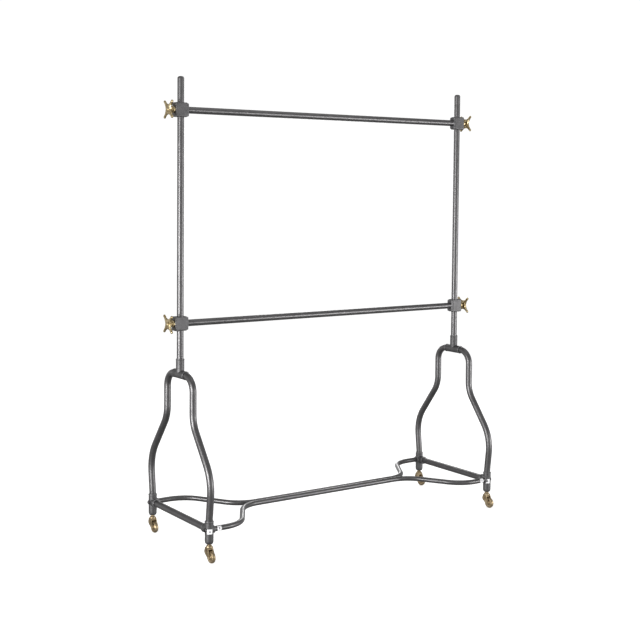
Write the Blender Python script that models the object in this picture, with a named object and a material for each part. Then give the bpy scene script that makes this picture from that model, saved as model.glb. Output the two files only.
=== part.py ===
"""Two-bar garment rack on casters, built from round pipe.

Metres, +Z up. The origin is on the floor under the middle of the rack. The hanging bars run along X, and the
front of the rack is at -Y. Each piece is one closed solid in its own named object, and each moving group hangs
from an empty that stands on its joint's axis.
"""

import math

import bmesh
import bpy
from mathutils import Matrix, Vector

# Driving dimensions
SPAN = 1.440  # between the axes of the two uprights
DEPTH = 0.4666  # between the axes of a front foot and a rear foot
HEIGHT = 1.860  # floor to the top of an upright's cap
UPPER_BAR_Z = 1.729
LOWER_BAR_Z = 0.891
TEE_Z = 0.689  # axis of the tee's barrel
RAIL_Z = 0.125  # axis of the bottom rails and the stretchers
FIT = 0.0003  # gap that two touching pieces keep
PAST = 0.02  # how far a cutter runs on past what it cuts
SLIDE_GAP = 0.0005  # between a clamp's bore and the upright

PIPE_R, PIPE_BORE = 0.01345, 0.0108  # three-quarter inch pipe: uprights, bars and rails
LEG_R, LEG_BORE = 0.0140, 0.0114
STRETCHER_R, STRETCHER_BORE = 0.01065, 0.0082  # half inch pipe
PIPE_SIDES, LEG_SIDES, STRETCHER_SIDES, ROUND_SIDES = 12, 10, 8, 12
ARC_STEP = math.radians(20)  # the most that a bent pipe turns from one ring to the next

# End frame
TEE_BARREL_R, TEE_BARREL_HALF = 0.0170, 0.0475
TEE_SLEEVE_R, TEE_SLEEVE_TOP = 0.0166, 0.751
UPRIGHT_FOOT_Z = 0.709
CAP_RISE = 0.010  # height of the dome above the pipe
LEG_INNER_Y = 0.012  # where a leg ends inside the tee
NECK_Y, NECK_CORNER_Z = 0.105, 0.509
BELLY_Y, BELLY_Z = 0.2501, 0.3170
LEG_ENTRY_Z, LEG_FOOT_Z = 0.165, 0.1425
SHOULDER_BEND, NECK_BEND, BELLY_BEND, ENTRY_BEND = 0.058, 0.12, 0.17, 0.10

# Foot fitting
FOOT_R, FOOT_TOP, FOOT_BOTTOM = 0.0170, 0.159, 0.0705
FOOT_NOSE = ((0.0120, 0.0), (0.0157, 0.0055), (FOOT_R, 0.014))  # radius and height of its tapered bottom
FOOT_RIM = (0.0014, 0.0025)  # width and height of the chamfer at its mouth
BRANCH_LENGTH, BOSS_LENGTH, BOSS_R = 0.036, 0.0205, 0.0145
RAIL_START, STRETCHER_START = 0.0140, 0.0090  # where those pipes begin, from the foot's axis
BOLT_R, BOLT_HEAD_R, BOLT_LENGTH, BOLT_HEAD = 0.0038, 0.0085, 0.033, 0.0055
STEM_R, STEM_TOP = 0.0055, 0.0960

# Stretchers, in plan
BEND_OUT_X, BEND_OUT_R = 0.5737, 0.13
BEND_IN_X, BEND_IN_R = 0.432, 0.13

# Clamp, along its own outboard direction from the upright's axis
BLOCK_IN, BLOCK_OUT, BLOCK_DEPTH, BLOCK_HEIGHT, BLOCK_CHAMFER = 0.0235, 0.0300, 0.035, 0.057, 0.0045
COLLAR_IN, COLLAR_DEPTH, COLLAR_HEIGHT, COLLAR_CHAMFER = 0.0300, 0.031, 0.051, 0.003
BAR_START = 0.0170  # where a bar begins, inboard of the upright's axis
BAR_END_R = 0.01300  # its turned-down ends, which stand for the thread in the block
BAR_SHOULDER = COLLAR_IN + 0.0005  # where the full pipe begins
SCREW_BORE_R = 0.0095
SCREW_BORE_START = 0.0050
BONNET_PLUG, BONNET_FLANGE, BONNET_SHOULDER, BONNET_NECK_END = 0.0240, 0.0335, 0.0350, 0.0450
BONNET_FLANGE_R, BONNET_NECK_R, BONNET_MOUTH_R = 0.0138, 0.0100, 0.0092
PAD_START, PAD_END, PAD_R = 0.0141, 0.0175, 0.0088
SPINDLE_START, SPINDLE_R, HUB_START, HUB_END = 0.0178, 0.0060, 0.0480, 0.0595
SPINDLE_SEAT_R, SPINDLE_HEAD_R, SPINDLE_END = 0.0045, 0.0085, 0.0670
HUB_R, HUB_RIM, ARM_REACH, ARM_R, ARM_SIDES = 0.0120, 0.85, 0.0475, 0.0048, 6
ARM_WAIST, ARM_ROOT = 0.85, 1.15  # an arm's radius at its waist and at the hub, as shares of ARM_R
ARM_WAIST_BACK = 0.012  # from an arm's tip to its waist
ARM_ANGLES = (math.radians(45), math.radians(135))

# Caster
TRAIL = 0.017  # wheel's axle behind the swivel axis
WHEEL_R, WHEEL_HALF, WHEEL_BORE = 0.0235, 0.0085, 0.0035
WHEEL_SIDES = 16
AXLE_Z = WHEEL_R * math.cos(math.pi / WHEEL_SIDES)  # the wheel stands on one of its flats
AXLE_R, AXLE_HEAD_R, AXLE_HEAD = 0.0030, 0.0052, 0.0025
ARM_IN, ARM_OUT = 0.0097, 0.0132  # inner and outer faces of the fork's arms
CROWN_R, CROWN_LOW, CROWN_HIGH = 0.0128, 0.0536, 0.0650
HORN_TOP = (0.0005, 0.0500)  # centre of a fork arm's upper round end, in Y and Z
HORN_TOP_R, HORN_FOOT_R, HORN_STEPS = 0.0112, 0.0080, 6
FLANGE_R, POST_R, RIVET_R, RIVET_HEIGHT = 0.0080, 0.0050, 0.0072, 0.003

# Looks: colour, metallic, roughness
PIPE_STEEL = ((0.135, 0.130, 0.135), 1.0, 0.38)
CAST_STEEL = ((0.170, 0.168, 0.175), 0.9, 0.55)
BLACK_STEEL = ((0.040, 0.038, 0.040), 1.0, 0.45)
BRASS = ((0.620, 0.460, 0.210), 1.0, 0.34)
AGED_BRASS = ((0.330, 0.235, 0.110), 1.0, 0.45)


def clear_scene():
    for obj in list(bpy.data.objects):
        bpy.data.objects.remove(obj, do_unlink=True)


def paint(obj, look):
    colour, metallic, roughness = look
    material = bpy.data.materials.new(obj.name + "_finish")
    material.use_nodes = True
    shader = material.node_tree.nodes["Principled BSDF"]
    shader.inputs["Base Color"].default_value = (*colour, 1.0)
    shader.inputs["Metallic"].default_value = metallic
    shader.inputs["Roughness"].default_value = roughness
    obj.data.materials.append(material)


def add_object(name, bm, parent=None, look=None):
    """Close the bmesh into an object. One without a look is a cutter or another helper."""
    bmesh.ops.recalc_face_normals(bm, faces=bm.faces)
    mesh = bpy.data.meshes.new(name)
    bm.to_mesh(mesh)
    bm.free()
    mesh.shade_smooth()
    mesh.set_sharp_from_angle(angle=math.radians(35))
    obj = bpy.data.objects.new(name, mesh)
    bpy.context.scene.collection.objects.link(obj)
    obj.parent = parent
    if look:
        paint(obj, look)
    else:
        obj.hide_render = True
        obj.display_type = "WIRE"
    return obj


def add_empty(name, location, parent=None):
    empty = bpy.data.objects.new(name, None)
    empty.location = location
    empty.parent = parent
    empty.empty_display_size = 0.03
    bpy.context.scene.collection.objects.link(empty)
    return empty


def combine(obj, tools, operation):
    for tool in tools:
        modifier = obj.modifiers.new(operation.title(), "BOOLEAN")
        modifier.operation = operation
        modifier.solver = "EXACT"
        modifier.object = tool


def unite(obj, *tools):
    combine(obj, tools, "UNION")


def cut(obj, *tools):
    combine(obj, tools, "DIFFERENCE")


def turned(profile, matrix, sides=ROUND_SIDES):
    """Turn (radius, height) points about local Z, and put the result through the matrix.

    A profile that starts and ends on the axis makes a plain solid, and any other is closed into a ring.
    """
    bm = bmesh.new()
    solid = profile[0][0] == 0
    columns = []
    for radius, height in profile:
        if radius == 0:
            columns.append([bm.verts.new(matrix @ Vector((0, 0, height)))] * sides)
            continue
        angles = [(k + 0.5) * math.tau / sides for k in range(sides)]
        ring = [Vector((radius * math.cos(a), radius * math.sin(a), height)) for a in angles]
        columns.append([bm.verts.new(matrix @ point) for point in ring])
    pairs = list(zip(columns, columns[1:]))
    if not solid:
        pairs.append((columns[-1], columns[0]))
    for low, high in pairs:
        for k in range(sides):
            n = (k + 1) % sides
            corners = dict.fromkeys((low[k], low[n], high[n], high[k]))
            bm.faces.new(tuple(corners))
    return bm


def along(direction, origin=(0, 0, 0)):
    """The matrix that turns local Z to a direction, for pieces turned about X or Y."""
    direction = Vector(direction)
    if abs(direction.x) > 0.5:
        turn = Matrix.Rotation(math.copysign(math.pi / 2, direction.x), 4, "Y")
    elif abs(direction.y) > 0.5:
        turn = Matrix.Rotation(-math.copysign(math.pi / 2, direction.y), 4, "X")
    else:
        turn = Matrix.Identity(4)
    return Matrix.Translation(origin) @ turn


def rod(name, start, end, radius, sides=ROUND_SIDES):
    """A plain cylinder between two points on a line along one axis, as a helper."""
    start, end = Vector(start), Vector(end)
    length = (end - start).length
    profile = [(0, 0), (radius, 0), (radius, length), (0, length)]
    return add_object(name, turned(profile, along((end - start).normalized(), start), sides))


def bore_for(radius, sides=ROUND_SIDES, gap=FIT):
    """Corner radius of a faceted bore that clears a round piece by the gap."""
    return (radius + gap) / math.cos(math.pi / sides)


def rounded(corners):
    """The path through (point, bend radius) corners, with each bend as an arc."""
    path = [Vector(corners[0][0])]
    for (before, _), (corner, radius), (after, _) in zip(corners, corners[1:], corners[2:]):
        back = (Vector(before) - Vector(corner)).normalized()
        ahead = (Vector(after) - Vector(corner)).normalized()
        turn = math.pi - back.angle(ahead)
        start = Vector(corner) + back * radius * math.tan(turn / 2)
        end = Vector(corner) + ahead * radius * math.tan(turn / 2)
        centre = Vector(corner) + (back + ahead).normalized() * radius / math.cos(turn / 2)
        axis = (start - centre).cross(end - centre).normalized()
        steps = max(1, math.ceil(turn / ARC_STEP))
        turns = [Matrix.Rotation(turn * k / steps, 3, axis) for k in range(steps + 1)]
        path += [centre + rotation @ (start - centre) for rotation in turns]
    path.append(Vector(corners[-1][0]))
    return path


def pipe(name, path, normal, outer, bore, sides, parent, look=PIPE_STEEL):
    """An open-ended pipe along a flat path, where normal stands square to the path's plane."""
    bm = bmesh.new()
    normal = Vector(normal)
    angles = [(k + 0.5) * math.tau / sides for k in range(sides)]
    rings = []
    for i, point in enumerate(path):
        before = (point - path[i - 1]).normalized() if i else (path[1] - path[0]).normalized()
        after = (path[i + 1] - point).normalized() if i < len(path) - 1 else before
        side = (before + after).normalized().cross(normal)
        mitre = 1 / math.cos(before.angle(after, 0) / 2)
        ring = []
        for radius in (outer, bore):
            offsets = [normal * math.cos(a) + side * mitre * math.sin(a) for a in angles]
            ring.append([bm.verts.new(point + radius * offset) for offset in offsets])
        rings.append(ring)
    for k in range(sides):
        n = (k + 1) % sides
        for low, high in zip(rings, rings[1:]):
            bm.faces.new((low[0][k], low[0][n], high[0][n], high[0][k]))
            bm.faces.new((low[1][n], low[1][k], high[1][k], high[1][n]))
        for ring in (rings[0], rings[-1]):
            bm.faces.new((ring[0][k], ring[0][n], ring[1][n], ring[1][k]))
    return add_object(name, bm, parent, look)


def chamfered_box(low, high, chamfer):
    bm = bmesh.new()
    size = Vector(high) - Vector(low)
    middle = (Vector(high) + Vector(low)) / 2
    bmesh.ops.create_cube(bm, size=1, matrix=Matrix.Translation(middle) @ Matrix.Diagonal((*size, 1)))
    bmesh.ops.bevel(
        bm, geom=bm.verts[:] + bm.edges[:], offset=chamfer, offset_type="OFFSET", segments=1, affect="EDGES"
    )
    return bm


# End frames


def build_tee(name, x, parent):
    barrel = rod(name + "_barrel", (x, -TEE_BARREL_HALF, TEE_Z), (x, TEE_BARREL_HALF, TEE_Z), TEE_BARREL_R)
    profile = [(0, TEE_Z), (TEE_SLEEVE_R, TEE_Z), (TEE_SLEEVE_R, TEE_SLEEVE_TOP), (0, TEE_SLEEVE_TOP)]
    tee = add_object(name, turned(profile, Matrix.Translation((x, 0, 0))), parent, CAST_STEEL)
    far = TEE_BARREL_HALF + PAST
    unite(tee, barrel)
    cut(
        tee,
        rod(name + "_leg_bore", (x, -far, TEE_Z), (x, far, TEE_Z), bore_for(LEG_R)),
        rod(name + "_upright_bore", (x, 0, UPRIGHT_FOOT_Z), (x, 0, TEE_SLEEVE_TOP + PAST), bore_for(PIPE_R)),
    )


def build_leg(name, x, y_sign, parent):
    outline = [
        (LEG_INNER_Y, TEE_Z, 0),
        (NECK_Y, TEE_Z, SHOULDER_BEND),
        (NECK_Y, NECK_CORNER_Z, NECK_BEND),
        (BELLY_Y, BELLY_Z, BELLY_BEND),
        (DEPTH / 2, LEG_ENTRY_Z, ENTRY_BEND),
        (DEPTH / 2, LEG_FOOT_Z, 0),
    ]
    corners = [((x, y_sign * y, z), bend) for y, z, bend in outline]
    pipe(name, rounded(corners), (1, 0, 0), LEG_R, LEG_BORE, LEG_SIDES, parent)


def build_foot(name, x_sign, y_sign, parent):
    """The fitting's own place is the foot's axis: leg above, caster below, rail along Y, stretcher along X."""
    x, y = x_sign * SPAN / 2, y_sign * DEPTH / 2
    nose = [(radius, FOOT_BOTTOM + height) for radius, height in FOOT_NOSE]
    rim = [(FOOT_R, FOOT_TOP - FOOT_RIM[1]), (FOOT_R - FOOT_RIM[0], FOOT_TOP)]
    body = [(0, FOOT_BOTTOM), *nose, *rim, (0, FOOT_TOP)]
    foot = add_object(name, turned(body, Matrix.Translation((x, y, 0))), parent, CAST_STEEL)
    rail_bore, stretcher_bore = bore_for(PIPE_R), bore_for(STRETCHER_R)

    def sideways(tag, start, end, radius, axis):
        sign = x_sign if axis == "X" else y_sign
        ends = []
        for offset in (start, end):
            shift = (-sign * offset, 0, 0) if axis == "X" else (0, -sign * offset, 0)
            ends.append(Vector((x, y, RAIL_Z)) + Vector(shift))
        return rod(f"{name}_{tag}", ends[0], ends[1], radius)

    unite(
        foot,
        sideways("branch", 0.001, BRANCH_LENGTH, FOOT_R, "Y"),
        sideways("boss", 0.002, BOSS_LENGTH, BOSS_R, "X"),
    )
    cut(
        foot,
        rod(name + "_leg_bore", (x, y, LEG_FOOT_Z - FIT), (x, y, FOOT_TOP + PAST), bore_for(LEG_R)),
        rod(name + "_stem_bore", (x, y, FOOT_BOTTOM - PAST), (x, y, STEM_TOP + FIT), bore_for(STEM_R)),
        sideways("rail_bore", RAIL_START - FIT, BRANCH_LENGTH + PAST, rail_bore, "Y"),
        sideways("stretcher_bore", STRETCHER_START - FIT, BOSS_LENGTH + PAST, stretcher_bore, "X"),
        sideways("bolt_bore", -FOOT_R - PAST, STRETCHER_START, bore_for(BOLT_R), "X"),
    )


def build_bolt(name, x_sign, y_sign, parent):
    """The shank runs from outside the fitting, through it and into the stretcher's open end."""
    seat = FOOT_R + FIT
    profile = [
        (0, seat - BOLT_LENGTH),
        (BOLT_R, seat - BOLT_LENGTH),
        (BOLT_R, seat),
        (BOLT_HEAD_R, seat),
        (BOLT_HEAD_R, seat + BOLT_HEAD * 0.6),
        (BOLT_HEAD_R * 0.65, seat + BOLT_HEAD),
        (0, seat + BOLT_HEAD),
    ]
    axis = along((x_sign, 0, 0), (x_sign * SPAN / 2, y_sign * DEPTH / 2, RAIL_Z))
    add_object(name, turned(profile, axis, PIPE_SIDES), parent, BLACK_STEEL)


def build_cap(name, x, parent):
    rim = HEIGHT - CAP_RISE + FIT
    profile = [
        (0, rim - 0.012),
        (PIPE_BORE - 0.0008, rim - 0.012),
        (PIPE_BORE - 0.0008, rim),
        (PIPE_R, rim),
        (PIPE_R, rim + 0.30 * CAP_RISE),
        (PIPE_R * 0.86, rim + 0.68 * CAP_RISE),
        (PIPE_R * 0.50, HEIGHT - 0.0008),
        (0, HEIGHT),
    ]
    add_object(name, turned(profile, Matrix.Translation((x, 0, 0)), PIPE_SIDES), parent, PIPE_STEEL)


def build_end_frame(side, x_sign, parent):
    x = x_sign * SPAN / 2
    build_tee(side + "_top_tee", x, parent)
    rail_end = DEPTH / 2 - RAIL_START
    rail = [Vector((x, -rail_end, RAIL_Z)), Vector((x, rail_end, RAIL_Z))]
    pipe(side + "_bottom_rail", rail, (0, 0, 1), PIPE_R, PIPE_BORE, PIPE_SIDES, parent)
    upright = [Vector((x, 0, UPRIGHT_FOOT_Z + FIT)), Vector((x, 0, HEIGHT - CAP_RISE))]
    pipe(side + "_upright", upright, (1, 0, 0), PIPE_R, PIPE_BORE, PIPE_SIDES, parent)
    build_cap(side + "_upright_cap", x, parent)
    for end, y_sign in (("front", -1), ("rear", 1)):
        build_leg(f"{side}_{end}_leg", x, y_sign, parent)
        build_foot(f"{side}_{end}_foot", x_sign, y_sign, parent)
        build_bolt(f"{side}_{end}_stretcher_bolt", x_sign, y_sign, parent)


def build_stretcher(name, y_sign, parent):
    outer_y, inner_y = y_sign * DEPTH / 2, y_sign * (STRETCHER_R + FIT / 2)
    outline = [
        (SPAN / 2 - STRETCHER_START, outer_y, 0),
        (BEND_OUT_X, outer_y, BEND_OUT_R),
        (BEND_IN_X, inner_y, BEND_IN_R),
    ]
    left = [((-x, y, RAIL_Z), bend) for x, y, bend in outline]
    right = [((x, y, RAIL_Z), bend) for x, y, bend in reversed(outline)]
    path = rounded(left + right)
    pipe(name, path, (0, 0, 1), STRETCHER_R, STRETCHER_BORE, STRETCHER_SIDES, parent)


# Hanging bars and their clamps


def build_block(name, x_sign, parent):
    """Built about the point where the bar's axis meets the upright's, with +X turned outboard."""
    half_depth, half_height = BLOCK_DEPTH / 2, BLOCK_HEIGHT / 2
    low, high = (-BLOCK_IN, -half_depth, -half_height), (BLOCK_OUT, half_depth, half_height)
    block = add_object(name, chamfered_box(low, high, BLOCK_CHAMFER), parent, CAST_STEEL)
    half_depth, half_height = COLLAR_DEPTH / 2, COLLAR_HEIGHT / 2
    low, high = (-COLLAR_IN, -half_depth, -half_height), (0, half_depth, half_height)
    collar = add_object(name + "_collar", chamfered_box(low, high, COLLAR_CHAMFER), parent)
    far, upright_bore = BLOCK_HEIGHT / 2 + PAST, bore_for(PIPE_R, PIPE_SIDES, SLIDE_GAP)
    tools = [
        rod(name + "_upright_bore", (0, 0, -far), (0, 0, far), upright_bore, PIPE_SIDES),
        rod(name + "_bar_bore", (-COLLAR_IN - PAST, 0, 0), (-BAR_START + FIT, 0, 0), bore_for(BAR_END_R)),
        rod(name + "_screw_bore", (SCREW_BORE_START, 0, 0), (BLOCK_OUT + PAST, 0, 0), SCREW_BORE_R),
    ]
    for tool in tools:
        tool.parent = parent
    unite(block, collar)
    cut(block, *tools)
    turn_outboard(block, x_sign)
    for helper in (collar, *tools):
        turn_outboard(helper, x_sign)


def turn_outboard(obj, x_sign):
    """Turn a piece that was built with +X outboard to face its own side of the rack."""
    if x_sign < 0:
        obj.rotation_euler.z = math.pi


def build_bonnet(name, x_sign, parent):
    bore = bore_for(SPINDLE_R)
    plug_r = SCREW_BORE_R * math.cos(math.pi / ROUND_SIDES) - FIT
    profile = [
        (bore, BONNET_PLUG),
        (plug_r, BONNET_PLUG),
        (plug_r, BLOCK_OUT + FIT),
        (BONNET_FLANGE_R, BLOCK_OUT + FIT),
        (BONNET_FLANGE_R, BONNET_FLANGE),
        (BONNET_NECK_R, BONNET_SHOULDER),
        (BONNET_MOUTH_R, BONNET_NECK_END),
        (bore, BONNET_NECK_END),
    ]
    add_object(name, turned(profile, along((x_sign, 0, 0))), parent, BRASS)


def build_spindle(name, x_sign, parent):
    profile = [
        (0, SPINDLE_START),
        (SPINDLE_R, SPINDLE_START),
        (SPINDLE_R, HUB_START),
        (SPINDLE_SEAT_R, HUB_START),
        (SPINDLE_SEAT_R, HUB_END + FIT),
        (SPINDLE_HEAD_R, HUB_END + FIT),
        (SPINDLE_HEAD_R, HUB_END + 0.0035),
        (SPINDLE_HEAD_R * 0.6, SPINDLE_END - 0.0012),
        (0, SPINDLE_END),
    ]
    add_object(name, turned(profile, along((x_sign, 0, 0)), PIPE_SIDES), parent, BRASS)


def build_cross_handle(name, x_sign, parent):
    """Two long arms cross in a turned hub. Each arm swells a little where it ends."""
    low, high = HUB_START + FIT, HUB_END
    rim = HUB_R * HUB_RIM
    hub_outline = [(0, low), (rim, low), (HUB_R, (low + high) / 2), (rim, high), (0, high)]
    hub = turned(hub_outline, along((x_sign, 0, 0)), PIPE_SIDES)
    handle = add_object(name, hub, parent, BRASS)
    reach = ARM_REACH - ARM_R
    waist = (ARM_R * ARM_WAIST, ARM_REACH - ARM_WAIST_BACK)
    half = [(0, ARM_REACH), (ARM_R, reach), waist, (ARM_R * ARM_ROOT, rim)]
    outline = [(r, -h) for r, h in half] + [(r, h) for r, h in reversed(half)]
    middle = x_sign * (low + high) / 2
    for number, angle in enumerate(ARM_ANGLES, start=1):
        place = Matrix.Translation((middle, 0, 0)) @ Matrix.Rotation(angle, 4, "X")
        unite(handle, add_object(f"{name}_arm_{number}", turned(outline, place, ARM_SIDES), parent))
    ends = [(x_sign * u, 0, 0) for u in (HUB_START - PAST, HUB_END + PAST)]
    seat = rod(name + "_seat", *ends, bore_for(SPINDLE_SEAT_R))
    seat.parent = parent
    cut(handle, seat)


def build_pad(name, x_sign, parent):
    profile = [(0, PAD_START), (PAD_R, PAD_START), (PAD_R, PAD_END), (0, PAD_END)]
    add_object(name, turned(profile, along((x_sign, 0, 0))), parent, BRASS)


def build_crossbar(name, parent):
    end, shoulder = SPAN / 2 - BAR_START, SPAN / 2 - BAR_SHOULDER
    half = [(PIPE_BORE, end), (BAR_END_R, end), (BAR_END_R, shoulder), (PIPE_R, shoulder)]
    profile = [(r, -h) for r, h in half] + [(r, h) for r, h in reversed(half)]
    add_object(name, turned(profile, along((1, 0, 0)), PIPE_SIDES), parent, PIPE_STEEL)


def build_hanging_bar(level, z):
    bar = add_empty(level + "_bar", (0, 0, z))
    build_crossbar(level + "_crossbar", bar)
    for side, x_sign in (("left", -1), ("right", 1)):
        name = f"{level}_{side}"
        corner = add_empty(name + "_clamp_axis", (x_sign * SPAN / 2, 0, 0), bar)
        build_block(name + "_clamp_block", x_sign, corner)
        build_bonnet(name + "_bonnet", x_sign, corner)
        build_pad(name + "_thrust_pad", x_sign, corner)
        build_spindle(name + "_spindle", x_sign, corner)
        build_cross_handle(name + "_cross_handle", x_sign, corner)


# Casters


def build_stem(name, parent):
    """Stud in the fitting, flange under it, and the post that the fork swivels on, with its riveted end."""
    profile = [
        (0, STEM_TOP),
        (STEM_R, STEM_TOP),
        (STEM_R, FOOT_BOTTOM - FIT),
        (FLANGE_R, FOOT_BOTTOM - FIT),
        (FLANGE_R, CROWN_HIGH + FIT + 0.001),
        (FLANGE_R * 0.8, CROWN_HIGH + FIT),
        (POST_R, CROWN_HIGH + FIT),
        (POST_R, CROWN_LOW - FIT),
        (RIVET_R, CROWN_LOW - FIT),
        (RIVET_R * 0.8, CROWN_LOW - RIVET_HEIGHT),
        (0, CROWN_LOW - RIVET_HEIGHT),
    ]
    add_object(name, turned(profile[::-1], Matrix.Identity(4), PIPE_SIDES), parent, AGED_BRASS)


def arm_plate(name, inner, outer, parent):
    """A plate that tapers from the crown to a round end about the axle, drawn in the YZ plane."""
    top, foot = Vector(HORN_TOP), Vector((-TRAIL, AXLE_Z))
    slope = foot - top
    lean = math.atan2(slope.y, slope.x)
    spread = math.acos((HORN_TOP_R - HORN_FOOT_R) / slope.length)
    outline = []
    for centre, radius, start, end in (
        (foot, HORN_FOOT_R, lean - spread, lean + spread),
        (top, HORN_TOP_R, lean + spread, lean + math.tau - spread),
    ):
        for k in range(HORN_STEPS + 1):
            angle = start + (end - start) * k / HORN_STEPS
            outline.append(centre + radius * Vector((math.cos(angle), math.sin(angle))))
    bm = bmesh.new()
    faces = [bm.faces.new([bm.verts.new((x, p.x, p.y)) for p in outline]) for x in (inner, outer)]
    for k in range(len(outline)):
        n = (k + 1) % len(outline)
        near, far = faces[0].verts, faces[1].verts
        bm.faces.new((near[k], near[n], far[n], far[k]))
    return add_object(name, bm, parent)


def build_fork(name, parent):
    crown = [
        (0, CROWN_LOW),
        (CROWN_R, CROWN_LOW),
        (CROWN_R, CROWN_HIGH - 0.003),
        (CROWN_R * 0.75, CROWN_HIGH),
        (0, CROWN_HIGH),
    ]
    fork = add_object(name, turned(crown, Matrix.Identity(4)), parent, AGED_BRASS)
    unite(fork, arm_plate(name + "_left_arm", -ARM_OUT, -ARM_IN, parent))
    unite(fork, arm_plate(name + "_right_arm", ARM_IN, ARM_OUT, parent))
    post = [(0, 0, CROWN_LOW - PAST / 2), (0, 0, CROWN_HIGH + PAST / 2)]
    post_bore = rod(name + "_post_bore", *post, bore_for(POST_R, PIPE_SIDES), PIPE_SIDES)
    axle_bore = rod(name + "_axle_bore", (-PAST, -TRAIL, AXLE_Z), (PAST, -TRAIL, AXLE_Z), bore_for(AXLE_R))
    for tool in (post_bore, axle_bore):
        tool.parent = parent
    cut(fork, post_bore, axle_bore)


def build_axle(name, parent):
    half = [(0, ARM_OUT + AXLE_HEAD), (AXLE_HEAD_R * 0.75, ARM_OUT + AXLE_HEAD), (AXLE_HEAD_R, ARM_OUT + FIT)]
    half.append((AXLE_R, ARM_OUT + FIT))
    profile = [(r, -h) for r, h in half] + [(r, h) for r, h in reversed(half)]
    add_object(name, turned(profile, along((1, 0, 0)), PIPE_SIDES), parent, AGED_BRASS)


def build_wheel(name, parent):
    half = [(WHEEL_BORE, WHEEL_HALF), (WHEEL_R * 0.80, WHEEL_HALF), (WHEEL_R, WHEEL_HALF * 0.6)]
    profile = [(r, -h) for r, h in half] + [(r, h) for r, h in reversed(half)]
    add_object(name, turned(profile, along((1, 0, 0)), WHEEL_SIDES), parent, AGED_BRASS)


def build_caster(corner, x, y, parent):
    swivel = add_empty(corner + "_swivel_axis", (x, y, 0), parent)
    build_stem(corner + "_caster_stem", swivel)
    build_fork(corner + "_caster_fork", swivel)
    axle = add_empty(corner + "_axle_axis", (0, -TRAIL, AXLE_Z), swivel)
    build_axle(corner + "_caster_axle", axle)
    build_wheel(corner + "_caster_wheel", axle)


def build():
    clear_scene()
    frame = add_empty("frame", (0, 0, 0))
    for side, x_sign in (("left", -1), ("right", 1)):
        build_end_frame(side, x_sign, frame)
        for end, y_sign in (("front", -1), ("rear", 1)):
            build_caster(f"{side}_{end}", x_sign * SPAN / 2, y_sign * DEPTH / 2, frame)
    build_stretcher("front_stretcher", -1, frame)
    build_stretcher("rear_stretcher", 1, frame)
    build_hanging_bar("upper", UPPER_BAR_Z)
    build_hanging_bar("lower", LOWER_BAR_Z)


build()
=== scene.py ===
"""Looks of the two-bar garment rack: smooth pipe, cast fittings, brass handles, casters, lights and camera.

Metres, in the CAD's frame: +X along the hanging bars, -Y towards the front, +Z up. Places are read from the
CAD nodes' boxes. A piece that repeats is modelled once about its own axis and copied to each place.
"""

import math

import bmesh
import bpy
from mathutils import Matrix, Vector


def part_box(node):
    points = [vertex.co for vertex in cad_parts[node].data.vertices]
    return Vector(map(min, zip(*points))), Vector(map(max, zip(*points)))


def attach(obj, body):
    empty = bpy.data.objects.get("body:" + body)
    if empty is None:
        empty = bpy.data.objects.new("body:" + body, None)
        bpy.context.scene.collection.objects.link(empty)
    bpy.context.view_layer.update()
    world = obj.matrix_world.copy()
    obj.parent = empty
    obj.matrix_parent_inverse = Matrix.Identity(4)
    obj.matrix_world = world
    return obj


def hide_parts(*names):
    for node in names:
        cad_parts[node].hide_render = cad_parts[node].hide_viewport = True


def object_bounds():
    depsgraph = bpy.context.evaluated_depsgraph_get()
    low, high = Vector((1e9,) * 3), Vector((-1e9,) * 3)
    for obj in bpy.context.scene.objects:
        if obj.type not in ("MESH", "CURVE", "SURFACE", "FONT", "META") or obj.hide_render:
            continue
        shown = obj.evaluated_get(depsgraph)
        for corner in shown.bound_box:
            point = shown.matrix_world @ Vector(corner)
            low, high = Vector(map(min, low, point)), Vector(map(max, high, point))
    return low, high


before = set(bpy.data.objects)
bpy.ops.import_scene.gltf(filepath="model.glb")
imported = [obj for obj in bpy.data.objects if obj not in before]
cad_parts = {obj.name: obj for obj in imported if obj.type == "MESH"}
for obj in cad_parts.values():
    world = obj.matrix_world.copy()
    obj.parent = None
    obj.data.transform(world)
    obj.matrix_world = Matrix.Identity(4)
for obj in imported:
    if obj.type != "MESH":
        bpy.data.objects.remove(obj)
cad_low, cad_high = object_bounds()

SIDES = (("left", -1), ("right", 1))
ENDS = (("front", -1), ("rear", 1))
LEVELS = ("upper", "lower")

# Sizes that the faceted CAD solids round off, as the design gives them
PIPE_R, PIPE_BORE = 0.01345, 0.0108
LEG_R, LEG_BORE = 0.0140, 0.0114
STRETCHER_R, STRETCHER_BORE = 0.01065, 0.0082
FITTING_R, FITTING_BOSS_R = 0.0170, 0.0145
FIT = 0.0003
BELLY_R, BELLY_RISE = 0.0105, 0.013  # the rounded underside of a foot fitting
STUD_BORE_R, STUD_BORE_LOW, STUD_BORE_HIGH, BOLT_BORE_R = 0.0058, 0.04, 0.0965, 0.0041
BOLT_HEAD_R, BOLT_HEAD, BOLT_LENGTH, BOLT_SHANK_R = 0.0085, 0.0055, 0.033, 0.0038
SOCKET_R, SOCKET_DEPTH = 0.0029, 0.0026
BEAD_WIDTH, BEAD_RISE = 0.0045, 0.0009
BLOCK_ROUND, COLLAR_ROUND, COLLAR_LENGTH, SCREW_BORE_R = 0.0046, 0.0036, 0.0065, 0.0092

# Castings are remeshed at these voxel sizes
STEEL_VOXEL, BRASS_VOXEL = 0.0006, 0.0005
CUT_REACH = 0.08  # cutters run this far, past the wall they open

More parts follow.
